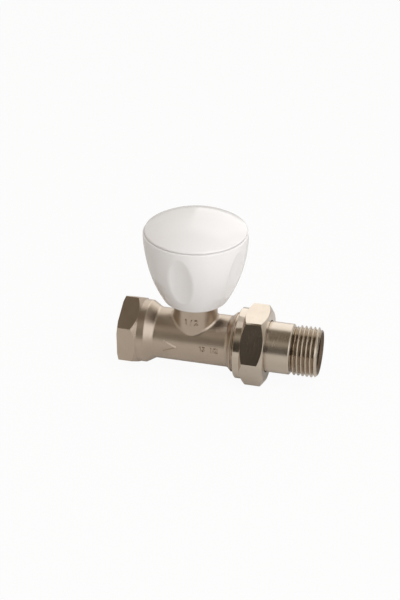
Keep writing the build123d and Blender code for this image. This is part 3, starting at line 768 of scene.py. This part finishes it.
def on_boss(along, height, rise):
    """Point on the boss: along is the way round it, from its mark's middle."""
    angle = BOSS_MARK_HEADING + along / BOSS_RADIUS
    radius = BOSS_RADIUS + rise
    return (spindle_place + radius * cos(angle), radius * sin(angle), height)


print("boss stands at", round(spindle_place, 2), "mm")

# %% [markdown]
# The arrow is only its head, two straight strokes. A stroke has a long slope above and a steep side
# below. The slope catches the white of the handwheel, where an even ridge would mirror the dark
# side of the room. Each stroke is cut into short steps, so that it follows the round barrel.

# %% Flow arrow
ARROW_TAIL = 19.45
ARROW_TIP = 24.75
ARROW_TIP_ALONG = 0.25
ARROW_HALF_WIDTH = 2.4
STROKE_WIDTH = 0.85
STROKE_STEPS = 8
MARK_RISE = 0.5
MARK_SINK = 0.25
STROKE_SECTION = (
    (1.0, -MARK_SINK),
    (1.0, 0.0),
    (-0.2, MARK_RISE),
    (-0.4, MARK_RISE),
    (-1.0, 0.0),
    (-1.0, -MARK_SINK),
)


def stroke(start, end):
    """Raised bar between two points of the unrolled barrel: a long slope above, a steep side below."""
    start = Vector(start)
    end = Vector(end)
    across = (end - start).orthogonal().normalized() * STROKE_WIDTH / 2
    points = []
    faces = []
    for step in range(STROKE_STEPS + 1):
        middle = start.lerp(end, step / STROKE_STEPS)
        for side, rise in STROKE_SECTION:
            points.append(on_barrel(*(middle + across * side), rise))
    count = len(STROKE_SECTION)
    for step in range(STROKE_STEPS):
        for spot in range(count):
            beside = (spot + 1) % count
            corners = (step, spot), (step, beside), (step + 1, beside), (step + 1, spot)
            faces.append([row * count + column for row, column in corners])
    faces.append(list(range(count))[::-1])
    faces.append([STROKE_STEPS * count + spot for spot in range(count)])
    return points, faces


for name, side in (("arrow_upper", 1), ("arrow_lower", -1)):
    tail_point = (ARROW_TAIL, ARROW_TIP_ALONG + side * ARROW_HALF_WIDTH)
    points, faces = stroke(tail_point, (ARROW_TIP, ARROW_TIP_ALONG))
    make_piece(name, points, faces, body_nickel, "valve")
print("arrow from", ARROW_TAIL, "to", ARROW_TIP, "mm")

# %% [markdown]
# The numerals come from Blender's own text object, turned into a mesh. Its bevel is used as a
# taper: stretched to the full rise, it makes walls that lean in, and moving the top down by the
# same amount gives a slope above and an upright side below, as on the arrow.

# %% Numerals
MARK_TAPER = 0.12
SIZE_MARK_PLACE = 38.4
SIZE_MARK_ALONG = 0.05
SIZE_MARK_HEIGHT = 2.9
BOSS_MARK_PLACE = 11.0
BOSS_MARK_HEIGHT = 3.3


def numerals(words, height):
    """Points and faces of numerals, centred, in millimetres: sloped at their tops, upright at their feet."""
    letters = bpy.data.curves.new("numerals", "FONT")
    letters.body = words
    letters.size = height
    letters.align_x = "CENTER"
    letters.bevel_depth = MARK_TAPER
    letters.bevel_resolution = 0
    letters.resolution_u = 4
    shape = bpy.data.objects.new("numerals", letters)
    mesh = bpy.data.meshes.new_from_object(shape)
    points = []
    for x, y, z in (vertex.co for vertex in mesh.vertices):
        rise = z / MARK_TAPER * (MARK_RISE if z > 0 else MARK_SINK)
        points.append((x, y - max(z, 0.0), rise))
    faces = [list(face.vertices) for face in mesh.polygons]
    bpy.data.objects.remove(shape)
    return points, faces


flat_points, faces = numerals("15  1/2", SIZE_MARK_HEIGHT)
points = [on_barrel(SIZE_MARK_PLACE + x, SIZE_MARK_ALONG + y, rise) for x, y, rise in flat_points]
make_piece("size_mark", points, faces, body_nickel, "valve")

flat_points, faces = numerals("1 / 2", BOSS_MARK_HEIGHT)
points = [on_boss(x, BOSS_MARK_PLACE + y, rise) for x, y, rise in flat_points]
make_piece("boss_mark", points, faces, body_nickel, "valve")
print("numerals: 15  1/2 on the barrel, 1 / 2 on the boss")

# %% [markdown]
# ## Floor and backdrop
#
# The picture has a white ground. The floor is a wide pale sheet that runs out of the view. Where
# the camera looks at it, most of its light is its own white, and the rest is the light it
# receives, so the valve still throws a soft shadow on it.

# %% Pale floor
FLOOR_SIZE = 6.0
FLOOR_COLOUR = (0.70, 0.69, 0.68, 1)
OWN_WHITE = 0.94
MIRRORED_WHITE = 0.08
FLOOR_GAP = 0.1 * MM


def background_share(shade, looked_at, mirrored):
    """Share of plain white: one for what the camera looks at, one for what metal mirrors."""
    camera, glossy, through = (
        shade.add("ShaderNodeLightPath", output=ray)
        for ray in ("Is Camera Ray", "Is Glossy Ray", "Is Transmission Ray")
    )
    return looked_at * camera + mirrored * (glossy + through)


def floor_finish(name):
    material, shade = new_finish(name)
    seen = background_share(shade, OWN_WHITE, MIRRORED_WHITE)
    matt = shade.add("ShaderNodeBsdfDiffuse", inputs={"Color": FLOOR_COLOUR})
    white = shade.add("ShaderNodeEmission", inputs={"Color": (1, 1, 1, 1), "Strength": 1.0})
    skin = shade.add("ShaderNodeMixShader", inputs={0: seen, 1: matt, 2: white})
    shade.add("ShaderNodeOutputMaterial", inputs={"Surface": skin})
    return material


def make_floor(height):
    half = FLOOR_SIZE / 2
    mesh = bpy.data.meshes.new("floor")
    corners = [(x, y, height) for x, y in ((-half, -half), (half, -half), (half, half), (-half, half))]
    mesh.from_pydata(corners, [], [(0, 1, 2, 3)])
    floor = bpy.data.objects.new("floor", mesh)
    bpy.context.scene.collection.objects.link(floor)
    dress(floor, floor_finish("pale_floor"))
    return floor


floor = make_floor(solid_box[0].z - FLOOR_GAP)
print("floor at", round(floor.data.vertices[0].co.z / MM, 2), "mm")

# %% [markdown]
# ## Room and lamps
#
# Satin metal is a picture of its room. Each strip along a round pipe mirrors one direction, so the
# strips tell what stood around the valve: a bright window behind it, a white wall that leans over
# from the front right, a warm grey left side, a dim ceiling, and a dark screen beside the camera.
# That screen makes the black flats on nut and tail. The room could be built from boards and lamps.
# It is painted on the world instead, because it then has no noise and its edges are plain numbers:
# each pair says where a wall starts and where it is full, along the way right, back or up.

# %% Room
ROOM_SIDE = (0.47, 0.425, 0.365)
ROOM_CEILING = (0.17, 0.14, 0.105)
ROOM_BACK = (0.78, 0.76, 0.73)
ROOM_WINDOW = (1.45, 1.43, 1.40)
ROOM_RIGHT = (1.30, 1.30, 1.32)
ROOM_SCREEN = (0.012, 0.009, 0.006)
ROOM_MIRRORED = 0.01
CEILING_EDGE = (0.7, 0.92)
BACK_EDGE = (0.3, 0.65)
WINDOW_LEFT = (-0.26, -0.22)
WINDOW_RIGHT = (0.35, 0.25)
WINDOW_BACK = (0.35, 0.6)
WALL_RIGHT = (0.42, 0.62)
WALL_LEAN = 0.3
WALL_FRONT = (0.25, -0.15)
SCREEN_LEFT = (-0.26, -0.19)
SCREEN_RIGHT = (0.4, 0.25)
SCREEN_TOP = (0.8, 0.4)
SCREEN_FRONT = (-0.25, -0.5)


def make_room():
    world = bpy.data.worlds.new("studio")
    world.use_nodes = True
    world.node_tree.nodes.clear()
    shade = Shade(world.node_tree)
    way = shade.add("ShaderNodeTexCoord", output="Generated")
    right, back, up = (
        shade.add("ShaderNodeSeparateXYZ", inputs={"Vector": way}, output=axis) for axis in "XYZ"
    )
    window = step_between(right, *WINDOW_LEFT) * step_between(right, *WINDOW_RIGHT)
    window = window * step_between(back, *WINDOW_BACK)
    screen = step_between(right, *SCREEN_LEFT) * step_between(right, *SCREEN_RIGHT)
    screen = screen * step_between(up, *SCREEN_TOP) * step_between(back, *SCREEN_FRONT)
    right_wall = step_between(right + WALL_LEAN * up, *WALL_RIGHT) * step_between(back, *WALL_FRONT)
    walls = blend(step_between(up, *CEILING_EDGE), ROOM_SIDE, ROOM_CEILING)
    walls = blend(step_between(back, *BACK_EDGE), walls, ROOM_BACK)
    walls = blend(window, walls, ROOM_WINDOW)
    walls = blend(right_wall, walls, ROOM_RIGHT)
    colour = blend(screen, walls, ROOM_SCREEN)
    seen = background_share(shade, 1.0, ROOM_MIRRORED)
    room = shade.add("ShaderNodeBackground", inputs={"Color": colour, "Strength": 1.0})
    white = shade.add("ShaderNodeBackground", inputs={"Color": (1, 1, 1, 1), "Strength": 1.0})
    skin = shade.add("ShaderNodeMixShader", inputs={0: seen, 1: room, 2: white})
    shade.add("ShaderNodeOutputWorld", inputs={"Surface": skin})
    return world


bpy.context.scene.world = make_room()
print("room:", bpy.context.scene.world.name)

# %% [markdown]
# The room alone leaves the white plastic grey, as the screen takes its light away. Two soft boxes
# make up for that, from above the camera and from the right. Metal doesn't mirror them, so they
# brighten plastic and floor and leave the strips on the pipe alone.

# %% Soft boxes
BOX_SIZE = 0.5
BOX_DISTANCE = 0.8

valve_middle = (solid_box[0] + solid_box[1]) / 2


def soft_box(name, heading, height, watts):
    """Square lamp aimed at the valve, not mirrored. Angles in degrees, heading from +X towards +Y."""
    lamp = bpy.data.lights.new(name, "AREA")
    lamp.shape = "SQUARE"
    lamp.size = BOX_SIZE
    lamp.energy = watts
    flat = cos(radians(height))
    away = Vector((flat * cos(radians(heading)), flat * sin(radians(heading)), sin(radians(height))))
    box = bpy.data.objects.new(name, lamp)
    box.location = valve_middle + BOX_DISTANCE * away
    box.rotation_euler = away.to_track_quat("Z", "Y").to_euler()
    box.visible_glossy = False
    bpy.context.scene.collection.objects.link(box)
    return box


boxes = [
    soft_box("upper_box", heading=-72, height=60, watts=2.2),
    soft_box("side_box", heading=-30, height=12, watts=1.4),
]
print("lamps:", [box.name for box in boxes])

# %% [markdown]
# ## Camera
#
# The camera was found from the outlines of the hexagons, the tail and the handwheel: a long lens
# a bit over half a metre away, looking down by 30 degrees.

# %% Camera at the photograph's angle
CAMERA_TURN = 13.962
CAMERA_HEIGHT = 30.037
CAMERA_ROLL = 0.094
CAMERA_DISTANCE = 570.5 * MM
AIM_PLACE = 30.3 * MM
AIM_RIGHT = 2.018 * MM
AIM_UP = 15.325 * MM
LENS = 81.47
SENSOR = 36.0


def make_camera():
    turned_to = Matrix.Rotation(radians(CAMERA_TURN), 3, "Z")
    tilted = Matrix.Rotation(radians(90 - CAMERA_HEIGHT), 3, "X")
    rolled = Matrix.Rotation(radians(CAMERA_ROLL), 3, "Z")
    facing = turned_to @ tilted @ rolled
    lens = bpy.data.cameras.new("camera")
    lens.sensor_width = SENSOR
    lens.lens = LENS
    camera = bpy.data.objects.new("camera", lens)
    place = Vector((AIM_PLACE, 0, 0)) + facing @ Vector((AIM_RIGHT, AIM_UP, CAMERA_DISTANCE))
    camera.matrix_world = Matrix.Translation(place) @ facing.to_4x4()
    bpy.context.scene.collection.objects.link(camera)
    return camera


bpy.context.scene.camera = make_camera()
bpy.context.scene.view_settings.view_transform = "Standard"
print("camera at", [round(v / MM, 1) for v in bpy.context.scene.camera.location])
